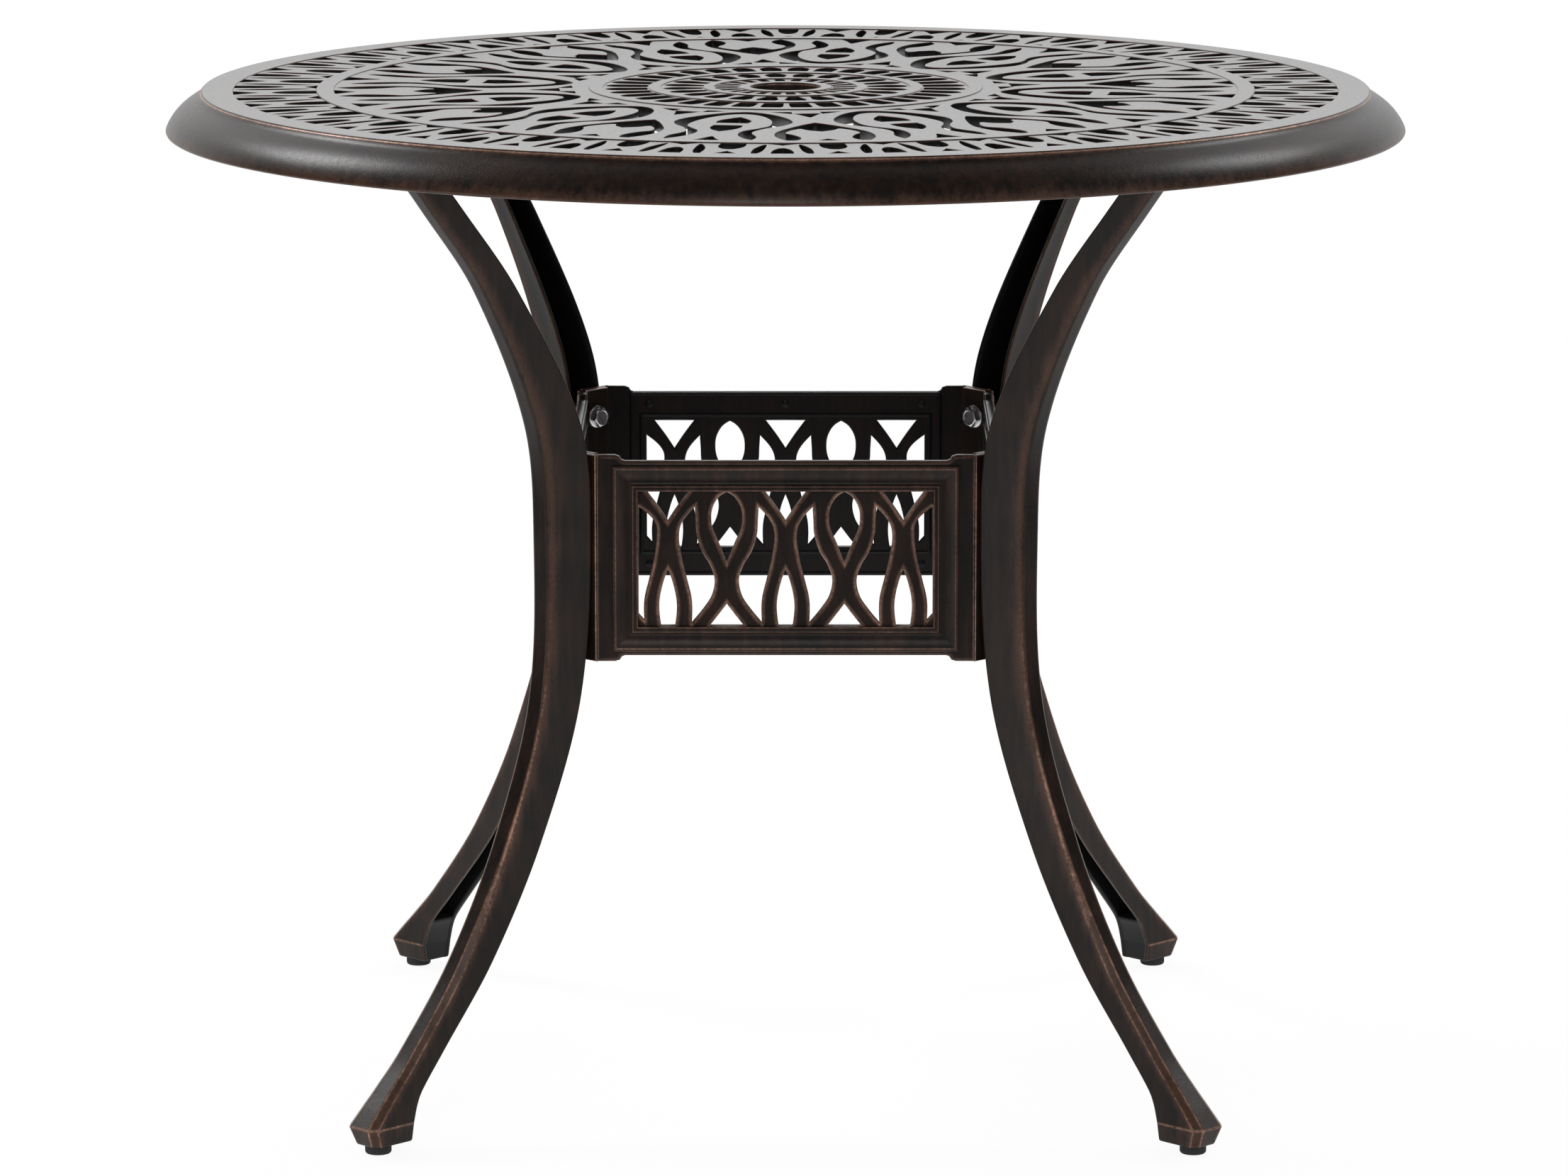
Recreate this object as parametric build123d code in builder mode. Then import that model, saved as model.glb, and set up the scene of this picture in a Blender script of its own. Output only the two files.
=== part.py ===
"""Round garden table in cast aluminium: openwork top, four channel legs, lattice apron, screw glides.

Millimetres, Z up, origin on the floor under the middle of the top, front apron panel towards -Y.
"""
import os
from math import cos, radians, sin, sqrt

from build123d import *

os.makedirs("parts", exist_ok=True)

# Table as a whole
table_diameter = 900
table_height = 724
table_radius = table_diameter / 2
diagonal = sqrt(2)

# Tabletop rings, given as radii
umbrella_radius = 25.6
collar_radius = 34
petal_ring = (52, 60)
inner_ring = (90.5, 100)
field_inner_ring = (132.6, 143.4)
field_outer_ring = (table_radius - 122, table_radius - 109)
border = (table_radius - 49, table_radius - 26)
plate_thickness = 9
collar_wall = 5
collar_depth = 20
pattern_turn = 5.3

# Openings round each band of the top
slot_count = 24
petal_count = 24
comb_count = 36
field_repeats = 12
edge_repeats = 32

# Rim of the top
rim_depth = 30
rim_wall = 5
rim_step = 4.5
rim_nose = 3

# Seats and screws under the top
pad_size = (66, 22, 6)
pad_reach = table_radius - 39
flange_thickness = 7
top_bolt_spacing = 44

# Legs, with their sections as share of the height, spread from apron to glide, depth, width and chamfer
leg_sections = (
    (0, 0.908, 33.5, 20, 2.5),
    (0.0192, 0.903, 40.5, 24, 3.6),
    (0.037, 0.88, 32.5, 22.5, 4.4),
    (0.0499, 0.854, 28.5, 22, 4.8),
    (0.084, 0.747, 27, 20, 5.5),
    (0.1667, 0.493, 31, 21, 7),
    (0.2806, 0.253, 32, 26, 8),
    (0.4231, 0.058, 32, 31, 9),
    (0.594, 0.005, 35.4, 32, 9),
    (0.708, 0.058, 34.5, 31, 9),
    (0.8504, 0.347, 26.5, 24, 7.5),
    (0.9359, 0.593, 26, 19, 6),
    (1, 0.79, 26, 17, 5.5),
)
channel_section = 3
leg_wall = 5
foot_bottom = 7
glide_reach = table_radius - 43

# Apron panels
seat_reach = 211.6
tab_thickness = 5
tab_length = 27.5
panel_face = 163.5
panel_thickness = 7
panel_share = 0.5655
stile_height = 149.5
stile_width = 18
rail_height = 141
lattice_width = 210
lattice_height = 97.4
lattice_pitch = 84
moulding_width = 18.5
moulding_height = 3.2
bead_width = 5

# Screws
thread_radius = 4
screw_sides = 8
washer_sides = 12
thread_gap = 0.05
clearance_gap = 0.5
hex_across_flats = 13
head_height = 5.3
washer_radius = 8.5
washer_thickness = 1.6
apron_bolt_spacing = 108
apron_bolt_depth = 16
top_bolt_depth = 11
boss_size = (26, 26, 22)

# Levelling glides
glide_radius = 9.5
glide_height = 6.5
glide_ribs = 16
stud_foot = 2
stud_length = 24

# Worked out from the above
plate_bottom = table_height - plate_thickness
leg_top = plate_bottom - pad_size[2]
leg_height = leg_top - foot_bottom
flange_bottom = leg_top - flange_thickness
panel_middle = foot_bottom + panel_share * leg_height
stile_bottom = panel_middle - stile_height / 2
panel_back = panel_face - panel_thickness
panel_half_width = diagonal * seat_reach - panel_face
side_panel_shift = diagonal * tab_thickness
corners = {"rear_right": 45, "rear_left": 135, "front_left": 225, "front_right": 315}


def ring_point(turn, rise, repeats, inner, outer):
    """Point of a ring pattern: turn in half repeats from the motif's axis, rise from ring to ring."""
    angle = radians(turn * 180 / repeats)
    radius = inner + rise * (outer - inner)
    return radius * cos(angle), radius * sin(angle)


def straight_point(turn, rise):
    """Point of the apron lattice: turn in half pitches from its middle, rise from bottom to top."""
    return turn * lattice_pitch / 2, (rise - 0.5) * lattice_height


def mirrored(outline, axis=0):
    """The same outline on the other side of an axis."""
    return [(2 * axis - turn, rise) for turn, rise in outline]


# Radial slots, petals and comb round the umbrella hole
with BuildSketch() as slot_opening:
    with BuildLine():
        slot = [(-0.43, 0.06), (0.43, 0.06), (0.43, 0.94), (-0.43, 0.94)]
        Polyline(*[ring_point(*p, slot_count, collar_radius, petal_ring[0]) for p in slot], close=True)
    make_face()

with BuildSketch() as petal_opening:
    with BuildLine():
        petal = [(0, 0.04), (0.68, 0.6), (0, 0.94), (-0.68, 0.6)]
        Polyline(*[ring_point(*p, petal_count, petal_ring[1], inner_ring[0]) for p in petal], close=True)
    make_face()

with BuildSketch() as comb_opening:
    with BuildLine():
        comb = [(-0.66, 0.06), (0.66, 0.06), (0.5, 0.86), (-0.5, 0.86)]
        Polyline(*[ring_point(*p, comb_count, inner_ring[1], field_inner_ring[0]) for p in comb], close=True)
    make_face()

# Main field: one repeat, from a spade axis to the looped axes at both sides
spade_notch = [(-0.123, 1), (0, 0.924), (0.123, 1)]
kite = [(0, 0.686), (-0.16, 0.605), (0, 0.42), (0.16, 0.605)]
crossing_gap = [(0, 0.231), (-0.187, 0.122), (0.187, 0.122)]
leaf = [(0.31, 0.985), (0.235, 0.87), (0.34, 0.735), (0.41, 0.87)]
winding_slot = [
    (0.64, 0.946), (0.68, 0.718), (0.587, 0.599), (0.293, 0.4),
    (0.547, 0.242), (0.5, 0.42), (0.76, 0.68), (0.773, 0.794),
]
loop_notch = [(0.877, 1), (1, 0.86), (1.123, 1)]
loop_top = [(1, 0.691), (0.84, 0.54), (1, 0.505), (1.16, 0.54)]
loop_foot = [(0.815, 0.4), (1, 0.252), (1.185, 0.4), (1, 0.435)]
paired = [leaf, winding_slot]
field_outlines = [spade_notch, kite, crossing_gap, loop_notch, loop_top, loop_foot]
field_outlines += paired + [mirrored(outline) for outline in paired]

with BuildSketch() as field_openings:
    for outline in field_outlines:
        with BuildLine():
            Polyline(
                *[ring_point(*p, field_repeats, field_inner_ring[1], field_outer_ring[0]) for p in outline],
                close=True,
            )
        make_face()

# Edge band: one repeat of crossing ribbons
edge_notch = [(-0.24, 1), (0, 0.717), (0.24, 1)]
edge_arch = [(-0.08, 0.49), (-0.23, 0), (0.23, 0), (0.08, 0.49)]
edge_cup = [(0.83, 1), (1, 0.42), (1.17, 1)]
edge_outlines = [edge_notch, edge_arch, edge_cup]

with BuildSketch() as edge_openings:
    for outline in edge_outlines:
        with BuildLine():
            Polyline(
                *[ring_point(*p, edge_repeats, field_outer_ring[1], border[0]) for p in outline],
                close=True,
            )
        make_face()

# Tabletop: one pierced plate with its rim, umbrella collar and four bolting pads
rim_seam = (border[0] + border[1]) / 2 + 8
rim_bottom = table_height - rim_depth
step_height = table_height - rim_step
nose_height = rim_bottom + rim_nose
with BuildPart() as tabletop:
    with BuildSketch(Plane.XY.offset(plate_bottom)):
        Circle(rim_seam)
        Circle(umbrella_radius, mode=Mode.SUBTRACT)
        with PolarLocations(0, slot_count, pattern_turn):
            add(slot_opening.sketch, mode=Mode.SUBTRACT)
        with PolarLocations(0, petal_count, pattern_turn):
            add(petal_opening.sketch, mode=Mode.SUBTRACT)
        with PolarLocations(0, comb_count, pattern_turn):
            add(comb_opening.sketch, mode=Mode.SUBTRACT)
        with PolarLocations(0, field_repeats, pattern_turn):
            add(field_openings.sketch, mode=Mode.SUBTRACT)
        with PolarLocations(0, edge_repeats, pattern_turn):
            add(edge_openings.sketch, mode=Mode.SUBTRACT)
    extrude(amount=plate_thickness)
    with BuildSketch(Plane.XZ):
        with BuildLine():
            Polyline(
                (rim_seam, plate_bottom),
                (rim_seam, table_height),
                (border[1] - 1, table_height),
                (border[1] + 3.5, step_height),
                (table_radius - 14, step_height - 2),
                (table_radius - 6.5, nose_height + 11.5),
                (table_radius - 1.8, nose_height + 4),
                (table_radius, nose_height),
                (table_radius - 2.5, rim_bottom),
                (table_radius - 2.5 - rim_wall, rim_bottom),
                (border[1] + 5, plate_bottom),
                close=True,
            )
        make_face()
    revolve(axis=Axis.Z)
    with BuildSketch(Plane.XY.offset(table_height - collar_depth)):
        Circle(umbrella_radius + collar_wall)
        Circle(umbrella_radius, mode=Mode.SUBTRACT)
    extrude(amount=collar_depth - plate_thickness)
    with BuildSketch(Plane.XY.offset(leg_top)):
        with PolarLocations(pad_reach, 4, 45):
            Rectangle(pad_size[1], pad_size[0])
    extrude(amount=pad_size[2])
    with BuildSketch(Plane.XY.offset(leg_top)):
        with PolarLocations(pad_reach, 4, 45):
            with GridLocations(0, top_bolt_spacing, 1, 2):
                RegularPolygon(thread_radius + thread_gap, screw_sides)
    extrude(amount=top_bolt_depth + 1, mode=Mode.SUBTRACT)
tabletop.part.label = "tabletop"
export_step(tabletop.part, "parts/tabletop.step")

# Leg along +X: creased foot, tapering chamfered bar hollowed from the inside, bolting bosses and flange
bar_faces = []
channel_faces = []
for share, spread, depth, width, chamfer_size in leg_sections:
    section_plane = Plane.XY.offset(foot_bottom + share * leg_height)
    inner = seat_reach + spread * (glide_reach - seat_reach)
    outer = inner + depth
    with BuildSketch(section_plane) as bar_section:
        with BuildLine():
            Polyline(
                (inner, -width / 2),
                (outer - chamfer_size, -width / 2),
                (outer, chamfer_size - width / 2),
                (outer, width / 2 - chamfer_size),
                (outer - chamfer_size, width / 2),
                (inner, width / 2),
                close=True,
            )
        make_face()
    bar_faces.append(bar_section.sketch.face())
    with BuildSketch(section_plane) as channel_outline:
        with Locations(((inner + outer - leg_wall) / 2 - 10, 0)):
            Rectangle(depth - leg_wall + 20, width - 2 * leg_wall)
    channel_faces.append(channel_outline.sketch.face())

with BuildPart() as leg:
    loft(bar_faces[:2], ruled=True)
    loft(bar_faces[1:])
    loft(channel_faces[channel_section:], ruled=True, mode=Mode.SUBTRACT)
    with BuildSketch(Plane.XY.offset(flange_bottom)):
        flange_inner = inner - 4
        flange_outer = pad_reach + pad_size[1] / 2
        with Locations(((flange_inner + flange_outer) / 2, 0)):
            flange = Rectangle(flange_outer - flange_inner, pad_size[0])
        chamfer(flange.vertices(), 9)
    extrude(amount=flange_thickness)
    with BuildSketch(Plane.YZ.offset(seat_reach)):
        with Locations((0, panel_middle)):
            with GridLocations(0, apron_bolt_spacing, 1, 2):
                Rectangle(boss_size[1], boss_size[2])
    extrude(amount=boss_size[0])
    with BuildSketch(Plane.YZ.offset(seat_reach)):
        with Locations((0, panel_middle)):
            with GridLocations(0, apron_bolt_spacing, 1, 2):
                RegularPolygon(thread_radius + thread_gap, screw_sides)
    extrude(amount=apron_bolt_depth + 2, mode=Mode.SUBTRACT)
    with BuildSketch(Plane.XY.offset(flange_bottom)):
        with Locations((pad_reach, 0)):
            with GridLocations(0, top_bolt_spacing, 1, 2):
                RegularPolygon(thread_radius + clearance_gap, screw_sides)
    extrude(amount=flange_thickness, mode=Mode.SUBTRACT)
    with BuildSketch(Plane.XY.offset(foot_bottom)):
        with Locations((glide_reach, 0)):
            RegularPolygon(thread_radius + thread_gap, washer_sides)
    extrude(amount=stud_length, mode=Mode.SUBTRACT)
for corner, angle in corners.items():
    turned_leg = leg.part.rotate(Axis.Z, angle)
    turned_leg.label = f"leg_{corner}"
    export_step(turned_leg, f"parts/leg_{corner}.step")

# Apron lattice: openings between crossing ribbons, in half pitches from the middle ribbon pair
ribbon_notch = [(-0.36, 1), (0, 0.785), (0.36, 1)]
ribbon_drop = [(0, 0.415), (-0.15, 0.155), (-0.12, 0), (0.12, 0), (0.15, 0.155)]
ribbon_arch = [(1, 0.985), (0.74, 0.855), (0.78, 0.69), (1, 0.47), (1.22, 0.69), (1.26, 0.855)]
ribbon_foot = [(1, 0.16), (0.72, 0), (1.28, 0)]
ribbon_slot = [
    (0.457, 0.88), (0.23, 0.755), (0.185, 0.635), (0.405, 0.185), (0.405, 0.02),
    (0.74, 0.215), (0.79, 0.345), (0.5, 0.635),
]
lattice_edge = lattice_width / lattice_pitch
ribbon_end = [
    (lattice_edge, 0.885), (2.23, 0.755), (2.185, 0.635), (2.4, 0.185), (2.4, 0.04), (lattice_edge, 0.085),
]
lattice_outlines = [ribbon_arch, ribbon_foot, ribbon_slot, mirrored(ribbon_slot, axis=1), ribbon_end]
lattice_outlines += [[(turn + 2, rise) for turn, rise in outline] for outline in (ribbon_notch, ribbon_drop)]
lattice_outlines += [mirrored(outline) for outline in lattice_outlines] + [ribbon_notch, ribbon_drop]

# Apron panel facing -Y: pierced plate, moulding swept round the lattice, and a bent tab at each end
panel_plane = Plane((0, 0, panel_middle), x_dir=(1, 0, 0), z_dir=(0, -1, 0))
with BuildPart() as panel:
    with BuildSketch(panel_plane.offset(panel_back)):
        Rectangle(2 * panel_half_width, rail_height)
        with GridLocations(2 * panel_half_width - stile_width, 0, 2, 1):
            Rectangle(stile_width, stile_height)
        for outline in lattice_outlines:
            with BuildLine():
                Polyline(*[straight_point(*p) for p in outline], close=True)
            make_face(mode=Mode.SUBTRACT)
    extrude(amount=panel_thickness)
    with BuildLine(panel_plane.offset(panel_face)) as moulding_path:
        Polyline(
            (0, -lattice_height / 2),
            (lattice_width / 2, -lattice_height / 2),
            (lattice_width / 2, lattice_height / 2),
            (-lattice_width / 2, lattice_height / 2),
            (-lattice_width / 2, -lattice_height / 2),
            close=True,
        )
    with BuildSketch(Plane((0, -panel_face, panel_middle - lattice_height / 2), x_dir=(0, 0, -1), z_dir=(1, 0, 0))):
        with BuildLine():
            Polyline(
                (0, 1),
                (0, -1.2),
                (0.3 * bead_width, -moulding_height),
                (0.7 * bead_width, -moulding_height),
                (bead_width, -1.2),
                ((bead_width + moulding_width) / 2, -1),
                (moulding_width - 2.5, -moulding_height),
                (moulding_width - 1, -moulding_height),
                (moulding_width, 1),
                close=True,
            )
        make_face()
    sweep(path=moulding_path.wires()[0], transition=Transition.RIGHT)
    with BuildSketch(Plane.XY.offset(stile_bottom)):
        tab_reach = tab_length / diagonal
        tab_step = tab_thickness / diagonal
        with BuildLine():
            Polyline(
                (panel_half_width - 2, -panel_face),
                (panel_half_width, -panel_face),
                (panel_half_width + tab_reach, -panel_face + tab_reach),
                (panel_half_width + tab_reach - tab_step, -panel_face + tab_reach + tab_step),
                (diagonal * (seat_reach - tab_thickness) - panel_back, -panel_back),
                (panel_half_width - 2, -panel_back),
                close=True,
            )
        make_face()
        mirror(about=Plane.YZ)
    extrude(amount=stile_height)
    seat = seat_reach / diagonal
    # Slotted, so that the same casting fits as the under and the over panel of a lap
    for side in (-1, 1):
        with BuildSketch(Plane((side * seat, -seat, panel_middle), x_dir=(side, 1, 0), z_dir=(-side, 1, 0))):
            with Locations((-tab_thickness / 2, 0)):
                with GridLocations(0, apron_bolt_spacing, 1, 2):
                    slot_width = 2 * (thread_radius + clearance_gap)
                    slots = Rectangle(tab_thickness + slot_width, slot_width)
            chamfer(slots.vertices(), slot_width / 4)
        extrude(amount=2 * tab_thickness, both=True, mode=Mode.SUBTRACT)
for name, angle, shift in (
    ("front", 0, 0),
    ("rear", 180, 0),
    ("right", 90, side_panel_shift),
    ("left", 270, side_panel_shift),
):
    placed_panel = panel.part.moved(Location((0, shift, 0))).rotate(Axis.Z, angle)
    placed_panel.label = f"apron_panel_{name}"
    export_step(placed_panel, f"parts/apron_panel_{name}.step")

# Hex bolts: two with washers through each pair of lapped tabs, two through each leg flange
washer_seat = seat_reach - 2 * tab_thickness
apron_head_seat = washer_seat - washer_thickness
with BuildPart() as apron_bolts:
    for angle in corners.values():
        bolt_plane = Plane.YZ.rotated((0, 0, angle))
        with BuildSketch(bolt_plane.offset(apron_head_seat)):
            with Locations((0, panel_middle)):
                with GridLocations(0, apron_bolt_spacing, 1, 2):
                    RegularPolygon(hex_across_flats / 2, 6, major_radius=False)
        extrude(amount=-head_height)
        with BuildSketch(bolt_plane.offset(apron_head_seat)):
            with Locations((0, panel_middle)):
                with GridLocations(0, apron_bolt_spacing, 1, 2):
                    RegularPolygon(thread_radius, screw_sides)
        extrude(amount=seat_reach + apron_bolt_depth - apron_head_seat)
apron_bolts.part.label = "apron_bolts"
export_step(apron_bolts.part, "parts/apron_bolts.step")

with BuildPart() as apron_washers:
    for angle in corners.values():
        with BuildSketch(Plane.YZ.rotated((0, 0, angle)).offset(apron_head_seat)):
            with Locations((0, panel_middle)):
                with GridLocations(0, apron_bolt_spacing, 1, 2):
                    RegularPolygon(washer_radius, washer_sides)
                    RegularPolygon(thread_radius + clearance_gap, screw_sides, mode=Mode.SUBTRACT)
        extrude(amount=washer_thickness)
apron_washers.part.label = "apron_washers"
export_step(apron_washers.part, "parts/apron_washers.step")

with BuildPart() as top_bolts:
    with BuildSketch(Plane.XY.offset(flange_bottom)):
        with PolarLocations(pad_reach, 4, 45):
            with GridLocations(0, top_bolt_spacing, 1, 2):
                RegularPolygon(hex_across_flats / 2, 6, major_radius=False)
    extrude(amount=-head_height)
    with BuildSketch(Plane.XY.offset(flange_bottom)):
        with PolarLocations(pad_reach, 4, 45):
            with GridLocations(0, top_bolt_spacing, 1, 2):
                RegularPolygon(thread_radius, screw_sides)
    extrude(amount=flange_thickness + top_bolt_depth)
top_bolts.part.label = "top_bolts"
export_step(top_bolts.part, "parts/top_bolts.step")

# Glide along +X: ribbed plastic base turning on a threaded stud
with BuildPart() as glide_base:
    with BuildSketch():
        RegularPolygon(glide_radius, glide_ribs)
    extrude(amount=glide_height)
    with BuildSketch(Plane.XY.offset(stud_foot - thread_gap)):
        Circle(thread_radius + thread_gap)
    extrude(amount=glide_height, mode=Mode.SUBTRACT)

with BuildPart() as glide_stud:
    with BuildSketch(Plane.XY.offset(stud_foot)):
        RegularPolygon(thread_radius, washer_sides)
    extrude(amount=stud_length)
for corner, angle in corners.items():
    placed_base = glide_base.part.moved(Location((glide_reach, 0, 0))).rotate(Axis.Z, angle)
    placed_base.label = f"glide_base_{corner}"
    export_step(placed_base, f"parts/glide_base_{corner}.step")
    placed_stud = glide_stud.part.moved(Location((glide_reach, 0, 0))).rotate(Axis.Z, angle)
    placed_stud.label = f"glide_stud_{corner}"
    export_step(placed_stud, f"parts/glide_stud_{corner}.step")
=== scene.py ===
"""Round garden table in cast aluminium with an antique bronze finish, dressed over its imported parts."""
from math import ceil, cos, pi, radians, sin, sqrt, tau

import bmesh
import bpy
from mathutils import Matrix, Vector


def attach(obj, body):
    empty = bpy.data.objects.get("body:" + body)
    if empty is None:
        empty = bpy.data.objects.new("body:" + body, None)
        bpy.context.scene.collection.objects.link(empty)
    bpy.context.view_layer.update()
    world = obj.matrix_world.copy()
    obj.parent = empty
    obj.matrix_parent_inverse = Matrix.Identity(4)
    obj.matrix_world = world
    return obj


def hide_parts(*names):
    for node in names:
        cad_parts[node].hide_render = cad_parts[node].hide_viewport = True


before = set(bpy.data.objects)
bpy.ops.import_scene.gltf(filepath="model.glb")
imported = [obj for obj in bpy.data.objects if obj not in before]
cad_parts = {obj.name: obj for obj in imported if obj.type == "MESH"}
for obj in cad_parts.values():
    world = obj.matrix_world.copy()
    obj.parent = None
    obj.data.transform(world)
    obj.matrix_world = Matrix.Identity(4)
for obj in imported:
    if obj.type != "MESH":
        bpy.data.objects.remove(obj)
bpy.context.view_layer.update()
scene = bpy.context.scene
mm = 0.001

# Sizes in millimetres, most of them as the solids have them
table_height = 724
leg_top = 709
umbrella_radius = 25.6
collar_radius = 34
petal_ring = (52, 60)
inner_ring = (90.5, 100)
field_inner_ring = (132.6, 143.4)
field_outer_ring = (328, 341)
border = (401, 424)
plate_thickness = 9
pattern_turn = 5.3
panel_face = 163.5
panel_thickness = 7
panel_middle = 404
bolt_heights = (panel_middle - 54, panel_middle + 54)
seat_reach = 211.6
tab_thickness = 5
tab_length = 27.5
stile_height = 149.5
stile_width = 18
rail_height = 141
lattice_width = 210
lattice_height = 97.4
lattice_pitch = 84
panel_half_width = sqrt(2) * seat_reach - panel_face
glide_reach = 407
pad_reach = 411
pad_thickness = 6.5
pad_half_depth = 11
pad_half_width = 33
flange_inner = 362
flange_corner = 9
flange_thickness = 7
boss_depth = 24
boss_half_width = 8
boss_half_height = 11
top_bolt_offset = 22
apron_bolt_length = 27
top_bolt_length = 17
bolt_half_flats = 6.5
washer_thickness = 1.6
corners = {"rear_right": 45, "rear_left": 135, "front_left": 225, "front_right": 315}

# How finely round things are divided
rim_segments = 288
collar_segments = 72
bolt_segments = 48


class Shell:
    """Points and faces of one piece in millimetres, with how far each point is rubbed bright; below zero a
    point is painted near-black, black primer and painted shade.

    A point on rim 0 borders the flat front face of a pierced plate, a point on rim 2 its back face.
    """

    def __init__(self):
        self.points, self.faces, self.smooth = [], [], []
        self.rub, self.rim, self.sharp = [], [], []

    def ring(self, points, rub=0.0, rim=-1):
        first = len(self.points)
        self.points += points
        self.rub += rub if isinstance(rub, list) else [rub] * len(points)
        self.rim += [rim] * len(points)
        return list(range(first, len(self.points)))

    def band(self, one, other):
        for i in range(len(one)):
            self.face((one[i - 1], one[i], other[i], other[i - 1]))

    def bands(self, rings):
        for one, other in zip(rings, rings[1:]):
            self.band(one, other)

    def tube(self, rings):
        """Rings joined one to the next, with a flat face at both ends."""
        self.bands(rings)
        self.face(rings[0], False)
        self.face(rings[-1], False)

    def face(self, corners, smooth=True):
        self.faces.append(tuple(corners))
        self.smooth.append(smooth)

    def add(self, other, matrix=Matrix()):
        first = len(self.points)
        self.points += [tuple(matrix @ Vector(p)) for p in other.points]
        self.faces += [tuple(first + i for i in face) for face in other.faces]
        self.sharp += [(first + i, first + j) for i, j in other.sharp]
        self.smooth += other.smooth
        self.rub += other.rub
        self.rim += other.rim

    def placed(self, matrix):
        moved = Shell()
        moved.add(self, matrix)
        return moved

    def mesh(self, name):
        mesh = bpy.data.meshes.new(name)
        mesh.from_pydata([(x * mm, y * mm, z * mm) for x, y, z in self.points], [], self.faces)
        mesh.polygons.foreach_set("use_smooth", self.smooth)
        for title, values in (("rub", self.rub), ("rim", self.rim)):
            mesh.attributes.new(title, "FLOAT", "POINT").data.foreach_set("value", [float(v) for v in values])
        folds = {frozenset(pair) for pair in self.sharp}
        for edge in mesh.edges:
            edge.use_edge_sharp = frozenset(edge.vertices) in folds
        work = bmesh.new()
        work.from_mesh(mesh)
        bmesh.ops.recalc_face_normals(work, faces=work.faces)
        work.to_mesh(mesh)
        work.free()
        return mesh


def hermite(t):
    """Weights of the start, its slope, the end and its slope, at a share t of a smooth run."""
    return 2 * t**3 - 3 * t**2 + 1, t**3 - 2 * t**2 + t, -2 * t**3 + 3 * t**2, t**3 - t**2


def ramp(value, start, end):
    """0 at start, 1 at end, straight between them."""
    return min(1.0, max(0.0, (value - start) / (end - start)))


def flowing(points, step=2.5):
    """Closed outline: a point of two numbers is a corner, a point of three lies on a smooth run."""
    count = len(points)
    spots = [Vector(p[:2]) for p in points]
    sharp = [len(p) == 2 for p in points]

    def heading(k, own):
        if sharp[k]:
            return own
        before = (spots[k] - spots[k - 1]).normalized()
        after = (spots[(k + 1) % count] - spots[k]).normalized()
        return (before + after).normalized()

    line = []
    for i in range(count):
        j = (i + 1) % count
        start, end = spots[i], spots[j]
        chord = end - start
        leave = heading(i, chord.normalized()) * chord.length
        arrive = heading(j, chord.normalized()) * chord.length
        if sharp[i] and not sharp[j]:
            leave = 1.5 * chord - 0.5 * arrive
        if sharp[j] and not sharp[i]:
            arrive = 1.5 * chord - 0.5 * leave
        straight = sharp[i] and sharp[j]
        pieces = max(1, ceil(chord.length / (3 * step if straight else step)))
        for k in range(pieces):
            h = hermite(k / pieces)
            line.append(start * h[0] + leave * h[1] + end * h[2] + arrive * h[3])
    area = sum(a.x * b.y - b.x * a.y for a, b in zip(line, line[1:] + line[:1]))
    return line if area > 0 else line[::-1]


turned_back = 0.2
mitre_limit = 0.55


def widened(line, distance):
    """The same counter-clockwise outline, moved outwards, with its sharp corners kept short."""
    moved = []
    count = len(line)
    for i in range(count):
        before = (line[i] - line[i - 1]).normalized()
        after = (line[(i + 1) % count] - line[i]).normalized()
        one, two = Vector((before.y, -before.x)), Vector((after.y, -after.x))
        half = one + two
        if half.length < turned_back:
            half = before - after
        half.normalize()
        moved.append(line[i] + half * distance / max(mitre_limit, half.dot(two)))
    return moved


# Cast edges from the flat face over a soft arris down the wall: reach into the metal, drop and rub. The rub
# below zero deep down the wall is painted shade inside the openings, and near-black primer too.
cast_edge = (
    (0.8, 0, 0.1), (0.4, 0.03, 0.35), (0.12, 0.14, 0.6), (0, 0.4, 0.4), (0, 0.8, -0.5), (0, 1.3, -1),
)
round_edge = (
    (3.2, 0, 0.1), (2.6, 0.03, 0.45), (1.95, 0.14, 0.6), (1.35, 0.4, 0.7), (0.8, 0.82, 0.8),
    (0.4, 1.35, 0.9), (0.1, 1.95, 0.7), (0, 2.6, 0.1), (0, 3.4, -1),
)
back_arris = 0.8


def pierced(shell, line, depth, edge, metal_outside=True, front=0.0):
    """The wall of one opening, or of an outer edge, from the front face to the back, which is painted
    near-black: black primer and painted shade.
    """
    side = 1 if metal_outside else -1
    rings = []
    for reach, drop, rub in edge:
        top = widened(line, side * reach)
        rings.append(shell.ring([(p.x, p.y, front - drop) for p in top], rub, 0 if not rings else 1))
    rings.append(shell.ring([(p.x, p.y, back_arris - depth) for p in line], -1, 1))
    back = widened(line, side * back_arris)
    rings.append(shell.ring([(p.x, p.y, -depth) for p in back], -1, 2))
    shell.bands(rings)


def mirrored(outline, axis=0):
    """An outline's mirror image, run the same way round."""
    return [(2 * axis - p[0], *p[1:]) for p in reversed(outline)]


def ring_outline(outline, repeats, inner, outer):
    """Outline of a ring pattern: turn in half repeats from the motif's axis, rise from ring to ring."""
    placed = []
    for turn, rise, *smooth in outline:
        angle = turn * pi / repeats
        radius = inner + rise * (outer - inner)
        placed.append((radius * cos(angle), radius * sin(angle), *smooth))
    return placed


# Marks a point on a smooth run
S = True

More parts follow.
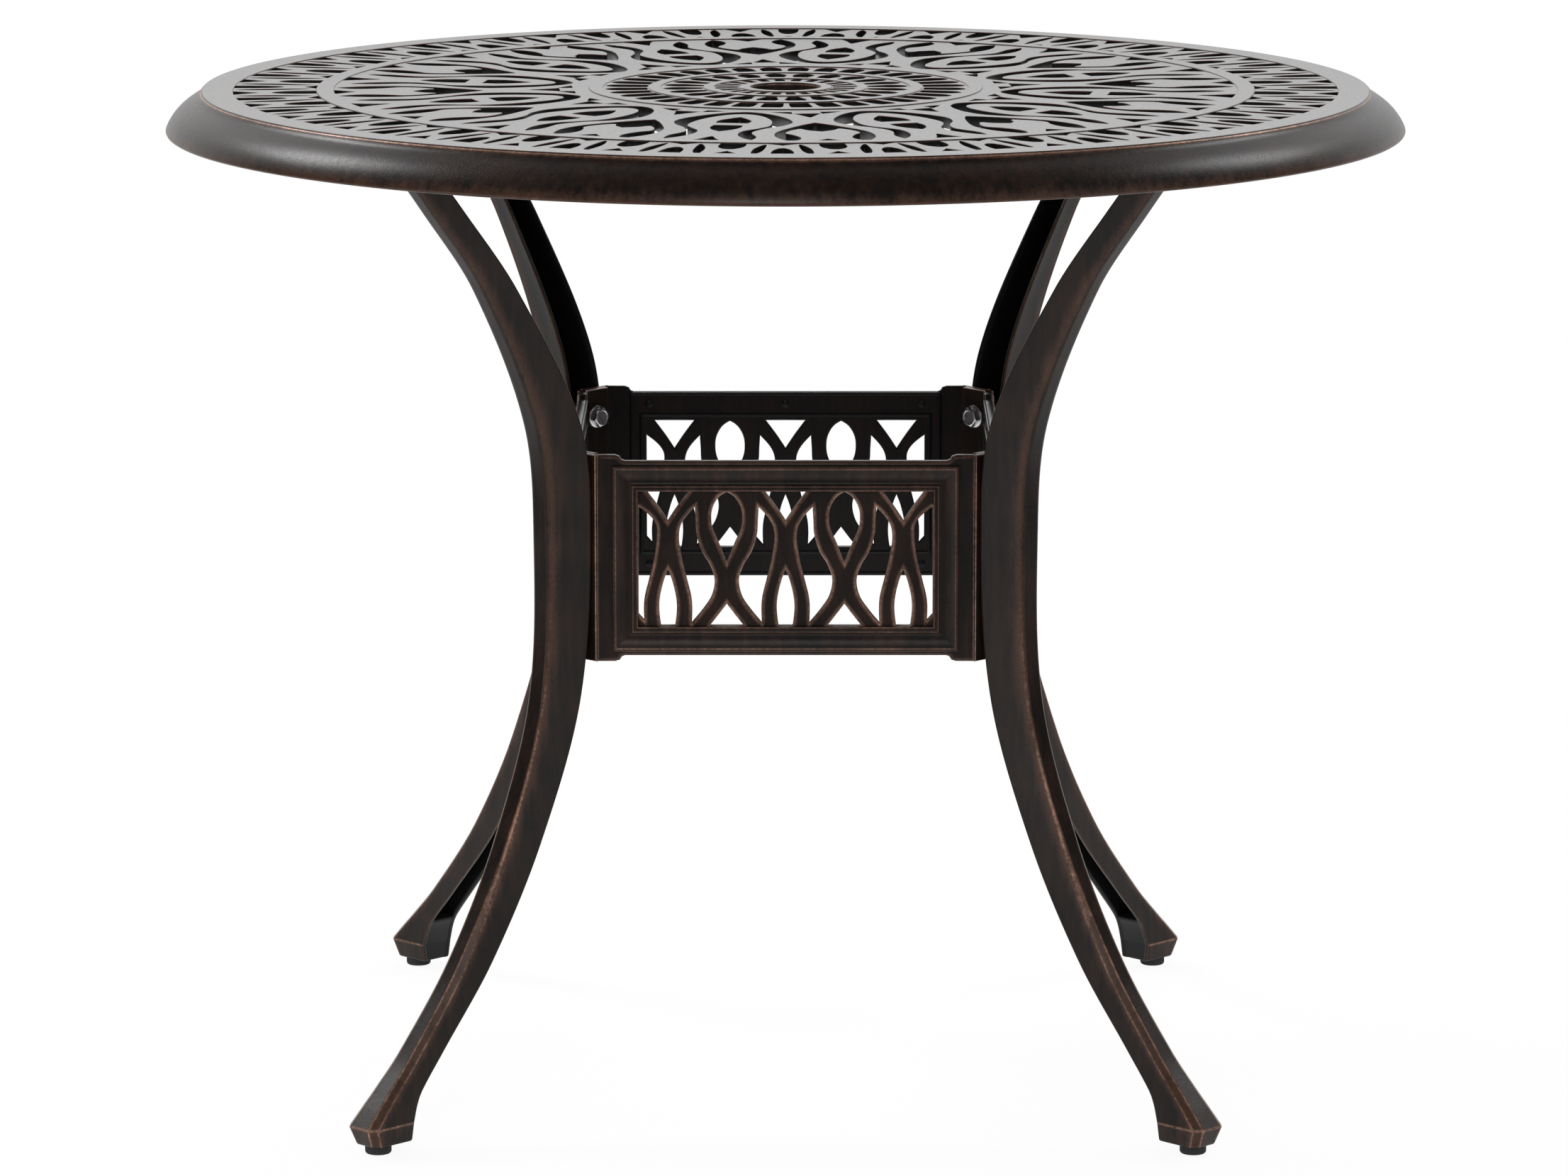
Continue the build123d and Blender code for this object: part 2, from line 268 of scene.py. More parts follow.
# Openings of the top, one repeat of each band
slot = [(-0.43, 0.1), (0.43, 0.1), (0.43, 0.86), (0.2, 0.95, S), (-0.2, 0.95, S), (-0.43, 0.86)]
petal = [(-0.36, 0.05), (0.36, 0.05), (0.55, 0.35, S), (0.66, 0.6, S), (0.4, 0.84, S), (0, 0.94),
         (-0.4, 0.84, S), (-0.66, 0.6, S), (-0.55, 0.35, S)]
comb = [
    (-0.66, 0.06), (0.66, 0.06), (0.66, 0.62), (0.45, 0.83, S), (0, 0.93, S), (-0.45, 0.83, S),
    (-0.66, 0.62),
]
spade_notch = [(-0.123, 1), (-0.05, 0.955, S), (0, 0.924), (0.05, 0.955, S), (0.123, 1)]
fork_side = [
    (0.1, 0.46, S), (0.2, 0.515, S), (0.29, 0.575, S), (0.37, 0.64, S), (0.425, 0.71, S), (0.44, 0.79, S),
    (0.41, 0.88, S), (0.31, 0.985), (0.245, 0.93, S), (0.24, 0.87, S), (0.29, 0.8, S), (0.365, 0.745, S),
    (0.345, 0.68, S), (0.28, 0.63, S), (0.2, 0.6, S), (0.12, 0.645, S),
]
fork = [(0, 0.42), *fork_side, (0, 0.686), *mirrored(fork_side)]
crossing_gap = [(0, 0.231), (-0.1, 0.165, S), (-0.187, 0.122), (0.187, 0.122), (0.1, 0.165, S)]
bar_gap = [(0.267, 0.117), (0.28, 0.068), (0.573, 0.074)]
winding_near = [(0.293, 0.41, S), (0.315, 0.31, S), (0.42, 0.225, S), (0.56, 0.16, S), (0.75, 0.11, S)]
winding_far = [
    (0.82, 0.158, S), (0.68, 0.2, S), (0.56, 0.28, S), (0.5, 0.388, S), (0.533, 0.534, S),
    (0.627, 0.599, S), (0.76, 0.686, S), (0.773, 0.794, S), (0.707, 0.892, S),
]
winding_side = [
    (0.64, 0.946), (0.623, 0.865, S), (0.69, 0.718, S), (0.587, 0.599, S), (0.413, 0.512, S), *winding_near,
]
winding_slot = [
    *winding_side, (1, 0.085, S), *mirrored(winding_side, axis=1), *mirrored(winding_far, axis=1),
    (1, 0.142, S), *winding_far,
]
loop_notch = [(0.877, 1), (0.95, 0.925, S), (1, 0.86), (1.05, 0.925, S), (1.123, 1)]
loop_top = [
    (1, 0.691), (0.91, 0.64, S), (0.853, 0.572, S), (0.853, 0.512), (1.147, 0.512), (1.147, 0.572, S),
    (1.09, 0.64, S),
]
loop_foot = [
    (0.827, 0.431), (0.807, 0.366, S), (0.89, 0.3, S), (1, 0.252), (1.11, 0.3, S), (1.193, 0.366, S),
    (1.173, 0.431),
]
field = [
    spade_notch, fork, crossing_gap, winding_slot, loop_notch, loop_top, loop_foot, bar_gap,
    mirrored(bar_gap),
]
edge_notch = [(-0.24, 1), (-0.1, 0.84, S), (0, 0.717), (0.1, 0.84, S), (0.24, 1)]
edge_arch = [
    (0, 0.517, S), (-0.15, 0.42, S), (-0.225, 0.25, S), (-0.222, 0), (0.222, 0), (0.225, 0.25, S),
    (0.15, 0.42, S),
]
edge_cup = [
    (0.83, 1), (0.84, 0.68, S), (0.9, 0.5, S), (1, 0.417, S), (1.1, 0.5, S), (1.16, 0.68, S), (1.17, 1),
]
edge_foot = [(1, 0.133), (0.87, 0.06, S), (0.733, 0), (1.267, 0), (1.13, 0.06, S)]
edge_slit = [(0.49, 0.96), (0.47, 0.74, S), (0.5, 0.42, S), (0.65, 0.08), (0.63, 0.45, S), (0.58, 0.75, S)]
edge_band = [edge_notch, edge_arch, edge_cup, edge_foot, edge_slit, mirrored(edge_slit)]
top_bands = (
    ("slot_band", [slot], 24, collar_radius, petal_ring[0]),
    ("petal_band", [petal], 24, petal_ring[1], inner_ring[0]),
    ("comb_band", [comb], 36, inner_ring[1], field_inner_ring[0]),
    ("field_band", field, 12, field_inner_ring[1], field_outer_ring[0]),
    ("edge_band", edge_band, 32, field_outer_ring[1], border[0]),
)

# Openings of the apron lattice, turn in half pitches from its middle, rise from bottom to top
ribbon_notch = [(-0.36, 1), (-0.16, 0.885, S), (0, 0.78), (0.16, 0.885, S), (0.36, 1)]
ribbon_drop = [
    (0, 0.415), (-0.07, 0.335, S), (-0.148, 0.165, S), (-0.12, 0), (0.12, 0), (0.148, 0.165, S),
    (0.07, 0.335, S),
]
ribbon_arch = [
    (1, 0.994), (0.867, 0.955, S), (0.757, 0.87, S), (0.738, 0.78, S), (0.757, 0.722, S), (0.867, 0.61, S),
    (1, 0.468), (1.133, 0.61, S), (1.243, 0.722, S), (1.262, 0.78, S), (1.243, 0.87, S), (1.133, 0.955, S),
]
ribbon_foot = [(1, 0.16), (0.86, 0.08, S), (0.714, 0), (1.286, 0), (1.14, 0.08, S)]
ribbon_slot = [
    (0.457, 0.88), (0.229, 0.755, S), (0.188, 0.66, S), (0.229, 0.513, S), (0.324, 0.34, S),
    (0.405, 0.187, S), (0.405, 0.02), (0.605, 0.125, S), (0.74, 0.216, S), (0.793, 0.34, S),
    (0.714, 0.45, S), (0.579, 0.549, S), (0.483, 0.685, S), (0.471, 0.78, S),
]
lattice_edge = lattice_width / lattice_pitch
ribbon_end = [
    (lattice_edge, 0.885), (2.202, 0.755, S), (2.188, 0.66, S), (2.229, 0.513, S), (2.324, 0.34, S),
    (2.405, 0.187, S), (2.405, 0.04), (lattice_edge, 0.085),
]
lattice = [ribbon_arch, ribbon_foot, ribbon_slot, mirrored(ribbon_slot, axis=1), ribbon_end]
lattice += [[(p[0] + 2, *p[1:]) for p in outline] for outline in (ribbon_notch, ribbon_drop)]
lattice += [mirrored(outline) for outline in lattice] + [ribbon_notch, ribbon_drop]


def node_tree(name, sizes):
    """A Geometry Nodes tree with a geometry in and out and the named sizes."""
    tree = bpy.data.node_groups.new(name, "GeometryNodeTree")
    tree.interface.new_socket("Geometry", in_out="INPUT", socket_type="NodeSocketGeometry")
    for title, kind in sizes:
        tree.interface.new_socket(title, in_out="INPUT", socket_type="NodeSocket" + kind)
    tree.interface.new_socket("Geometry", in_out="OUTPUT", socket_type="NodeSocketGeometry")
    return tree


def wire(tree, kind, settings=None, **inputs):
    """One node with its settings first, then values or links by socket name or number."""
    node = tree.nodes.new(kind)
    for key, value in (settings or {}).items():
        setattr(node, key, value)
    for key, value in inputs.items():
        socket = node.inputs[int(key[1:])] if key[0] == "_" else node.inputs[key.replace("_", " ")]
        if isinstance(value, bpy.types.NodeSocket):
            tree.links.new(value, socket)
        else:
            socket.default_value = value
    return node


def delivered(tree, geometry, finish):
    """The tree, with what it made turned to a plain mesh, painted and handed out."""
    real = wire(tree, "GeometryNodeRealizeInstances", Geometry=geometry)
    painted = wire(tree, "GeometryNodeSetMaterial", Geometry=real.outputs[0], Material=finish)
    wire(tree, "NodeGroupOutput", Geometry=painted.outputs[0])
    return tree


def dressed(obj, tree, **values):
    """Run a tree on an object and keep what it makes as the object's plain mesh."""
    modifier = obj.modifiers.new(tree.name, "NODES")
    modifier.node_group = tree
    for item in tree.interface.items_tree:
        if item.in_out == "INPUT" and item.name.replace(" ", "_") in values:
            modifier[item.identifier] = values[item.name.replace(" ", "_")]
    obj.update_tag()
    evaluated = obj.evaluated_get(bpy.context.evaluated_depsgraph_get())
    result = bpy.data.meshes.new_from_object(evaluated)
    obj.modifiers.remove(modifier)
    obj.data = result
    return obj


def new_piece(name, mesh):
    """An object of the scene with its mesh."""
    obj = bpy.data.objects.new(name, mesh)
    scene.collection.objects.link(obj)
    return obj


def turned_repeats():
    """Repeats a sector round the upright axis."""
    tree = node_tree("turned_repeats", [("Count", "Int"), ("Start", "Float"), ("Finish", "Material")])
    given = tree.nodes.new("NodeGroupInput")
    spots = wire(tree, "GeometryNodePoints", Count=given.outputs["Count"])
    step = wire(tree, "ShaderNodeMath", {"operation": "DIVIDE"}, _0=tau, _1=given.outputs["Count"])
    index = wire(tree, "GeometryNodeInputIndex")
    angle = wire(tree, "ShaderNodeMath", {"operation": "MULTIPLY_ADD"},
                 _0=index.outputs[0], _1=step.outputs[0], _2=given.outputs["Start"])
    turn = wire(tree, "ShaderNodeCombineXYZ", Z=angle.outputs[0])
    placed = wire(tree, "GeometryNodeInstanceOnPoints", Points=spots.outputs[0],
                  Instance=given.outputs["Geometry"], Rotation=turn.outputs[0])
    return delivered(tree, placed.outputs[0], given.outputs["Finish"])


merge_distance = 0.00002


def cast_plate():
    """Closes the walls of a pierced casting with its flat front and back faces."""
    tree = node_tree("cast_plate", [("Front", "Float"), ("Back", "Float"), ("Finish", "Material")])
    given = tree.nodes.new("NodeGroupInput")
    rim = wire(tree, "GeometryNodeInputNamedAttribute", {"data_type": "FLOAT"}, Name="rim")
    walls = wire(tree, "GeometryNodeSetShadeSmooth", Geometry=given.outputs["Geometry"], Shade_Smooth=True)
    joined = wire(tree, "GeometryNodeJoinGeometry")
    for number, height in ((0, "Front"), (2, "Back")):
        on_rim = wire(tree, "FunctionNodeCompare", {"data_type": "FLOAT", "operation": "EQUAL"},
                      A=rim.outputs["Attribute"], B=float(number), Epsilon=0.01)
        line = wire(tree, "GeometryNodeMeshToCurve",
                    Mesh=given.outputs["Geometry"], Selection=on_rim.outputs[0])
        face = wire(tree, "GeometryNodeFillCurve", Curve=line.outputs[0])
        lift = wire(tree, "ShaderNodeCombineXYZ", Z=given.outputs[height])
        placed = wire(tree, "GeometryNodeTransform", Geometry=face.outputs[0], Translation=lift.outputs[0])
        if number:
            placed = wire(tree, "GeometryNodeFlipFaces", Mesh=placed.outputs[0])
        tree.links.new(placed.outputs[0], joined.inputs[0])
    tree.links.new(walls.outputs[0], joined.inputs[0])
    merged = wire(tree, "GeometryNodeMergeByDistance", Geometry=joined.outputs[0], Distance=merge_distance)
    return delivered(tree, merged.outputs[0], given.outputs["Finish"])


def lathe(shell, profile, segments):
    """Turns a profile of radius, height, rub and rim number round the upright axis."""
    rings = []
    angles = [tau * i / segments for i in range(segments)]
    for radius, height, rub, rim in profile:
        ring = [(radius * cos(a), radius * sin(a), height) for a in angles]
        rings.append(shell.ring(ring, rub, rim))
    shell.bands(rings)
    return rings


def as_shell(mesh):
    """The points and faces of a made mesh, back in millimetres."""
    shell = Shell()
    shell.points = [tuple(v.co / mm) for v in mesh.vertices]
    shell.faces = [tuple(p.vertices) for p in mesh.polygons]
    shell.smooth = [p.use_smooth for p in mesh.polygons]
    shell.rub = [d.value for d in mesh.attributes["rub"].data]
    shell.rim = [d.value for d in mesh.attributes["rim"].data]
    return shell


def prism(outline, bottom, top, arris, rub=0.9):
    """An upright prism with rounded arrises, rubbed bright there, or all near-black, black primer and painted
    shade, with a rub below zero.
    """
    work = bmesh.new()
    face = work.faces.new([work.verts.new((x, y, bottom)) for x, y in outline])
    lifted = bmesh.ops.extrude_face_region(work, geom=[face])["geom"]
    raised = [v for v in lifted if isinstance(v, bmesh.types.BMVert)]
    bmesh.ops.translate(work, vec=(0, 0, top - bottom), verts=raised)
    bmesh.ops.recalc_face_normals(work, faces=work.faces)
    bevelled = bmesh.ops.bevel(work, geom=work.edges[:], offset=arris, segments=3,
                               affect="EDGES", profile=0.5)
    rounded = set(bevelled["faces"])
    work.verts.index_update()
    shell = Shell()
    shell.points = [tuple(v.co) for v in work.verts]
    shell.rub = [rub if all(f in rounded for f in v.link_faces) else min(rub, 0.0) for v in work.verts]
    shell.rim = [-1] * len(shell.points)
    for f in work.faces:
        shell.face([v.index for v in f.verts], f in rounded)
    work.free()
    return shell


def block(x, y, z, arris, rub=0.9):
    """A rounded block between two x, two y and two z."""
    return prism([(x[0], y[0]), (x[1], y[0]), (x[1], y[1]), (x[0], y[1])], z[0], z[1], arris, rub)


class Value:
    """A number that changes over a surface; arithmetic on it adds Math nodes."""

    def __init__(self, look, socket):
        self.look, self.socket = look, socket

    def maths(self, operation, *terms):
        node = self.look.node("ShaderNodeMath", {"operation": operation}, dict(enumerate(terms)))
        return Value(self.look, node.outputs[0])

    def __add__(self, other):
        return self.maths("ADD", self, other)

    def __radd__(self, other):
        return self.maths("ADD", other, self)

    def __sub__(self, other):
        return self.maths("SUBTRACT", self, other)

    def __rsub__(self, other):
        return self.maths("SUBTRACT", other, self)

    def __mul__(self, other):
        return self.maths("MULTIPLY", self, other)

    def __rmul__(self, other):
        return self.maths("MULTIPLY", other, self)

    def step(self, low, high):
        """0 below low, 1 above high, smooth between."""
        node = self.look.node("ShaderNodeMapRange", {"interpolation_type": "SMOOTHSTEP"},
                              {0: self, 1: low, 2: high})
        return Value(self.look, node.outputs[0])


class Look:
    """The node tree of a material or of the world, emptied and built anew."""

    def __init__(self, owner):
        owner.use_nodes = True
        self.tree = owner.node_tree
        self.tree.nodes.clear()

    def node(self, kind, settings=None, inputs=None):
        made = self.tree.nodes.new(kind)
        for key, setting in (settings or {}).items():
            setattr(made, key, setting)
        for key, given in (inputs or {}).items():
            if isinstance(given, Value):
                given = given.socket
            if isinstance(given, bpy.types.NodeSocket):
                self.tree.links.new(given, made.inputs[key])
            else:
                made.inputs[key].default_value = given
        return made

    def rays(self):
        """Whether a ray comes from the camera, from a glossy surface or through a clear one."""
        path = self.node("ShaderNodeLightPath")
        return [Value(self, path.outputs[f"Is {kind} Ray"]) for kind in ("Camera", "Glossy", "Transmission")]


class Finish(Look):
    """One material on a Principled surface."""

    def __init__(self, name, **constants):
        self.material = bpy.data.materials.new(name)
        super().__init__(self.material)
        self.surface = self.node("ShaderNodeBsdfPrincipled")
        for title, constant in constants.items():
            self.surface.inputs[title.replace("_", " ")].default_value = constant
        self.node("ShaderNodeOutputMaterial", None, {"Surface": self.surface.outputs[0]})
        self.place = self.node("ShaderNodeTexCoord").outputs["Object"]

    def noise(self, scale, detail, stretch=(1, 1, 1)):
        where = self.node("ShaderNodeMapping", None, {"Vector": self.place, "Scale": stretch}).outputs[0]
        made = self.node("ShaderNodeTexNoise", None, {"Vector": where, "Scale": scale, "Detail": detail})
        return Value(self, made.outputs["Fac"])

    def attribute(self, name):
        return Value(self, self.node("ShaderNodeAttribute", {"attribute_name": name}).outputs["Fac"])

    def mix(self, factor, one, other):
        """Blend of two colours."""
        return self.node("ShaderNodeMix", {"data_type": "RGBA"}, {0: factor, 6: one, 7: other}).outputs[2]

    def paint(self, **looks):
        for title, look in looks.items():
            socket = look.socket if isinstance(look, Value) else look
            self.tree.links.new(socket, self.surface.inputs[title.replace("_", " ")])

    def bump(self, height, strength, distance):
        made = self.node("ShaderNodeBump", None,
                         {"Strength": strength, "Distance": distance, "Height": height})
        self.paint(Normal=made.outputs[0])


def bronze_finish():
    """Black-brown satin paint with fine pits, rubbed to copper on arrises; hidden sides near-black, black
    primer there and painted shade.
    """
    f = Finish("antique_bronze", Specular_IOR_Level=0.22)
    rub = f.attribute("rub")
    grain = f.noise(420, 5)
    cloud = f.noise(26, 4)
    streak = f.noise(60, 4, (3, 3, 0.35))
    pits = f.noise(900, 2)
    worn = rub * (0.25 + 0.7 * grain + 0.5 * cloud) + 0.3 * (streak - 0.5)
    haze = (0.5 * cloud + 0.5 * streak).step(0.36, 0.66)
    body = f.mix(haze, (0.0066, 0.0044, 0.0036, 1), (0.0175, 0.0088, 0.0059, 1))
    # Painted shade: below zero the rub turns the surface near-black, which stands for black primer and for
    # the shade on hidden sides, backs and recesses
    primer_and_shade = f.mix((0 - rub).step(0.25, 0.8), body, (0.0046, 0.0046, 0.0050, 1))
    brown = f.mix(worn.step(0.12, 0.5), primer_and_shade, (0.055, 0.027, 0.0175, 1))
    bare = worn.step(0.45, 0.95)
    colour = f.mix(bare * 0.9, brown, (0.4, 0.235, 0.17, 1))
    f.paint(Base_Color=colour, Roughness=0.26 + 0.14 * grain, Metallic=bare * 0.65)
    f.bump(0.55 * grain + 0.45 * pits.step(0.28, 0.42), 0.22, 0.0004)
    return f.material


def zinc_finish():
    """Bright zinc plating with a faint haze."""
    f = Finish("zinc_plate", Metallic=1.0)
    haze = f.noise(240, 3)
    colour = f.mix(haze, (0.55, 0.55, 0.56, 1), (0.74, 0.74, 0.75, 1))
    f.paint(Base_Color=colour, Roughness=0.2 + 0.16 * haze)
    f.bump(haze, 0.1, 0.0002)
    return f.material


def plastic_finish():
    """Black moulded plastic with a fine matt grain."""
    f = Finish("black_plastic")
    grain = f.noise(1500, 3)
    colour = f.mix(grain, (0.008, 0.008, 0.0085, 1), (0.02, 0.02, 0.021, 1))
    f.paint(Base_Color=colour, Roughness=0.48 + 0.16 * grain)
    f.bump(grain, 0.15, 0.0002)
    return f.material


bronze = bronze_finish()
zinc = zinc_finish()
plastic = plastic_finish()
repeat_tree = turned_repeats()
plate_tree = cast_plate()


def closed_plate(name, walls, front, back):
    """A pierced casting from its walls, with both flat faces filled in."""
    work = new_piece(name, walls.mesh(name))
    dressed(work, plate_tree, Front=front * mm, Back=back * mm, Finish=bronze)
    shell = as_shell(work.data)
    bpy.data.objects.remove(work)
    return shell


def settle(name, shell, body, finish, slot, *nodes):
    """One finished piece on its body, standing for its nodes."""
    mesh = shell.mesh(name)
    mesh.materials.clear()
    mesh.materials.append(finish)
    mesh.attributes.remove(mesh.attributes["rim"])
    piece = new_piece(name, mesh)
    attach(piece, body)
    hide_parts(*nodes)


# Tabletop: five pierced bands between raised rings, collar, rolled rim and the four bolting pads below
field_drop = 0.7
opening_growth = 1.1
top_walls = Shell()
for name, outlines, repeats, inner, outer in top_bands:
    sector = Shell()
    for outline in outlines:
        line = widened(flowing(ring_outline(outline, repeats, inner, outer)), opening_growth)
        pierced(sector, line, plate_thickness, cast_edge, front=-field_drop)
    work = new_piece(name, sector.mesh(name))
    dressed(work, repeat_tree, Count=repeats, Start=radians(pattern_turn), Finish=bronze)
    top_walls.add(as_shell(work.data))
    bpy.data.objects.remove(work)
# Rim and collar: radius, or reach from the umbrella hole, with height and rub; a rub below zero paints the
# undersides near-black, black primer and painted shade
thumb_moulding = (
    (412, -field_drop, 0), (424, -field_drop, 0.5), (424.7, -1.2, 0.9), (425.3, -2.3, 0.45),
    (426.4, -3.8, 0.1), (428.6, -5.5, 0), (431.4, -7.3, 0.05), (434.5, -9.3, 0.1), (437.6, -11.5, 0.1),
    (440.6, -14.0, 0.1), (443.3, -16.8, 0.15), (445.6, -19.7, 0.15), (447.5, -22.6, 0.25),
    (448.9, -25.2, 0.35), (449.8, -27.2, 0.4), (450, -28.3, 0.5), (449.6, -29.3, 0.5), (448.7, -29.85, 0.4),
    (447.4, -30, 0.1), (443.4, -30, -1), (442.4, -29.4, -1), (437.5, -21, -1), (432, -11.5, -1),
    (429, -9, -1),
)
rim_profile = [(*point, 1) for point in thumb_moulding]
rim_profile[0] = (*thumb_moulding[0], 0)
rim_profile[-1] = (*thumb_moulding[-1], 2)
lathe(top_walls, rim_profile, rim_segments)
collar = (
    (1.8, -field_drop, 0, 0), (0.5, -field_drop, 0.5, 1), (0, -1.2, 0.8, 1), (0, -3, 0, 1),
    (0, -19.3, -1, 1), (0.8, -20, -1, 1), (4.2, -20, -1, 1), (5, -19.2, -1, 1), (5, -10, -1, 1),
    (5.8, -9, -1, 2),
)
lathe(top_walls, [(umbrella_radius + reach, *rest) for reach, *rest in collar], collar_segments)


def raised_ring(shell, inner, outer, segments):
    """A flat ring standing a little above the pierced field, its two edges rubbed."""
    edge = ((0.05, -1.3, 0), (0.1, -0.5, 0.3), (0.4, -0.12, 0.5), (1.0, 0, 0.1), (1.9, 0, 0))
    profile = [(inner + reach, height, rub, 1) for reach, height, rub in edge]
    profile += [(outer - reach, height, rub, 1) for reach, height, rub in reversed(edge)]
    lathe(shell, profile + profile[:1], segments)


tabletop = Shell()
to_top = Matrix.Translation((0, 0, table_height))
tabletop.add(closed_plate("tabletop_walls", top_walls, -field_drop, -plate_thickness), to_top)
rings = Shell()
collar_ring = (umbrella_radius, collar_radius)
for inner, outer in (collar_ring, petal_ring, inner_ring, field_inner_ring, field_outer_ring, border):
    raised_ring(rings, inner, outer, collar_segments if outer <= petal_ring[1] else rim_segments)
tabletop.add(rings, to_top)
for angle in corners.values():
    # The pads under the top are painted near-black: black primer and painted shade
    pad = block((pad_reach - pad_half_depth, pad_reach + pad_half_depth), (-pad_half_width, pad_half_width),
                (leg_top, leg_top + pad_thickness), 1, -1)
    tabletop.add(pad, Matrix.Rotation(radians(angle), 4, "Z"))
settle("tabletop_casting", tabletop, "table", bronze, "bronze_paint", "tabletop")

# Legs: height, inner reach, outer reach, width inside, width of the outer flat and cut of its arris.
# The second station is the crease above the foot, the fourth the floor of the channel.
leg_stations = (
    (7, 386, 420, 26, 15, 5), (20.5, 385.7, 425.5, 30, 19, 5.5), (33, 381.5, 413.5, 28.5, 16.5, 5.2),
    (42, 376.5, 404.5, 27.5, 15, 5), (66, 355.5, 381.5, 25.5, 12.5, 4.8), (124, 306.5, 335, 24.5, 11, 4.6),
    (204, 259.5, 289, 27, 10.5, 3.4), (304, 222, 253, 31, 10.5, 3.2), (424, 212.6, 247.5, 33, 10, 4),
    (504, 222, 256.5, 32, 9.5, 4), (604, 279.4, 305, 26.5, 8, 3.6), (664, 327.5, 353, 22, 7.5, 3.4),
    (709, 366, 391.5, 19, 7.5, 3.2),
)
crease = leg_stations[1][0]
channel_floor = leg_stations[3][0]
leg_wall = 3.5
leg_rings = 112


def leg_size(height, which):
    """A size of the leg at any height, flowing through the stations above the crease, straight below."""
    table = leg_stations[:2] if height < crease else leg_stations[1:]
    k = max(i for i in range(len(table) - 1) if table[i][0] <= height)
    a, b = table[k], table[k + 1]
    span = b[0] - a[0]

    def slope(i):
        one, two = max(i - 1, 0), min(i + 1, len(table) - 1)
        return (table[two][which] - table[one][which]) / (table[two][0] - table[one][0])

    h = hermite((height - a[0]) / span)
    return a[which] * h[0] + slope(k) * span * h[1] + b[which] * h[2] + slope(k + 1) * span * h[3]


def leg_section(height, shrink):
    """Half of the channel section as reach, width and rub, from the outer face round to the channel floor."""
    inner, outer, wide, flat, cut = (leg_size(height, which) for which in (1, 2, 3, 4, 5))
    inner, outer, root, edge = inner + shrink, outer - shrink, wide / 2 - shrink, flat / 2 - shrink / 2
    floor = outer - leg_wall if height > channel_floor else inner + 0.6
    turn, tip = outer - cut, edge + cut
    # Rubbed more from 400 mm down to 200 mm, wear that also stands in for the highlight the lower arris
    # catches (painted highlight); the flat facet of the arris is round by 230 mm
    low = ramp(height, 400, 200)
    rounded = ramp(height, 124, 230)
    # The crease is rubbed all round, the foot below it a little
    least = 0.75 if abs(height - crease) < 0.7 else 0.25 if height < crease else 0.0

    def side(reach):
        return tip + (root - tip) * (turn - reach) / (turn - inner)

    points = [(outer, 0, 0), (outer, edge - 1.5, 0.05)]
    # Share of the cut, then the rub of a flat facet, of a round arris low down, where the rub is also painted
    # highlight, and of one high up
    arris = (
        (0, 0.85, 0.1, 0.05), (0.07, 0.8, 0.5, 0.15), (0.2, 0.5, 0.9, 0.25), (0.5, 0.42, 0.95, 0.42),
        (0.8, 0.5, 0.85, 0.5), (0.93, 0.7, 0.6, 0.5), (1, 0.75, 0.5, 0.5),
    )
    for step, (share, facet_rub, low_rub, high_rub) in enumerate(arris):
        angle = step / (len(arris) - 1) * pi / 2
        down = share + rounded * (1 - cos(angle) - share)
        across = share + rounded * (sin(angle) - share)
        rub = facet_rub + rounded * (low_rub * low + high_rub * (1 - low) - facet_rub)
        points.append((outer - cut * down, edge + cut * across, rub))
    points += [(turn - 1.5, side(turn - 1.5), 0.42), (turn - 4, side(turn - 4), 0.3)]
    points += [((inner + turn) / 2, side((inner + turn) / 2), 0), (inner + 1.6, side(inner + 1.6), 0)]
    points += [(inner + 0.6, root - 0.1, 0.45), (inner + 0.1, root - 0.5, 0.6)]
    points = [(reach, width, max(rub, least)) for reach, width, rub in points]
    # Inside the channel the rub goes below zero: near-black, black primer and painted shade
    points += [(inner, root - 1.0, 0.3), (inner, root - leg_wall + 1, -1)]
    points += [(inner + 0.5, root - leg_wall + 0.1, -1)]
    for share, inset in ((0.12, 0), (0.85, 0.1), (0.97, 0.6), (1, 1.4)):
        reach = inner + 0.5 + share * (floor - inner - 0.5)
        points.append((reach, max(0.3, side(reach) - leg_wall - inset), -1))
    return points + [(floor, 0, -1)]


def leg_casting():
    """One leg along +X: channel bar, top flange and the two bosses that take the apron bolts."""
    shell = Shell()
    heights = [(7, 1.2), (7.3, 0.5), (8, 0.1), (9, 0)]
    low_rings = (14, 19, 20, crease, 21, 22, 25, 28, 31, 34, 38, channel_floor, channel_floor + 0.25)
    heights += [(z, 0) for z in low_rings]
    first = channel_floor + 5
    heights += [(first + (leg_top - first) * i / leg_rings, 0) for i in range(leg_rings + 1)]
    rings = []
    for height, shrink in heights:
        half = leg_section(height, shrink)
        loop = half + [(r, -y, rub) for r, y, rub in half[-2:0:-1]]
        rings.append(shell.ring([(r, y, height) for r, y, rub in loop], [rub for r, y, rub in loop]))
    shell.tube(rings)
    inner, outer, side = flange_inner, pad_reach + pad_half_depth, pad_half_width
    cut = flange_corner
    flange = [(inner + cut, -side), (outer - cut, -side), (outer, cut - side), (outer, side - cut),
              (outer - cut, side), (inner + cut, side), (inner, side - cut), (inner, cut - side)]
    # Flange and bosses are painted near-black: black primer and painted shade
    shell.add(prism(flange, leg_top - flange_thickness, leg_top, 1, -1))
    for height in bolt_heights:
        shell.add(block((seat_reach, seat_reach + boss_depth), (-boss_half_width, boss_half_width),
                        (height - boss_half_height, height + boss_half_height), 0.8, -1))
    return shell


leg = leg_casting()
for corner, angle in corners.items():
    turned = leg.placed(Matrix.Rotation(radians(angle), 4, "Z"))
    settle(f"leg_casting_{corner}", turned, "table", bronze, "bronze_paint", f"leg_{corner}")

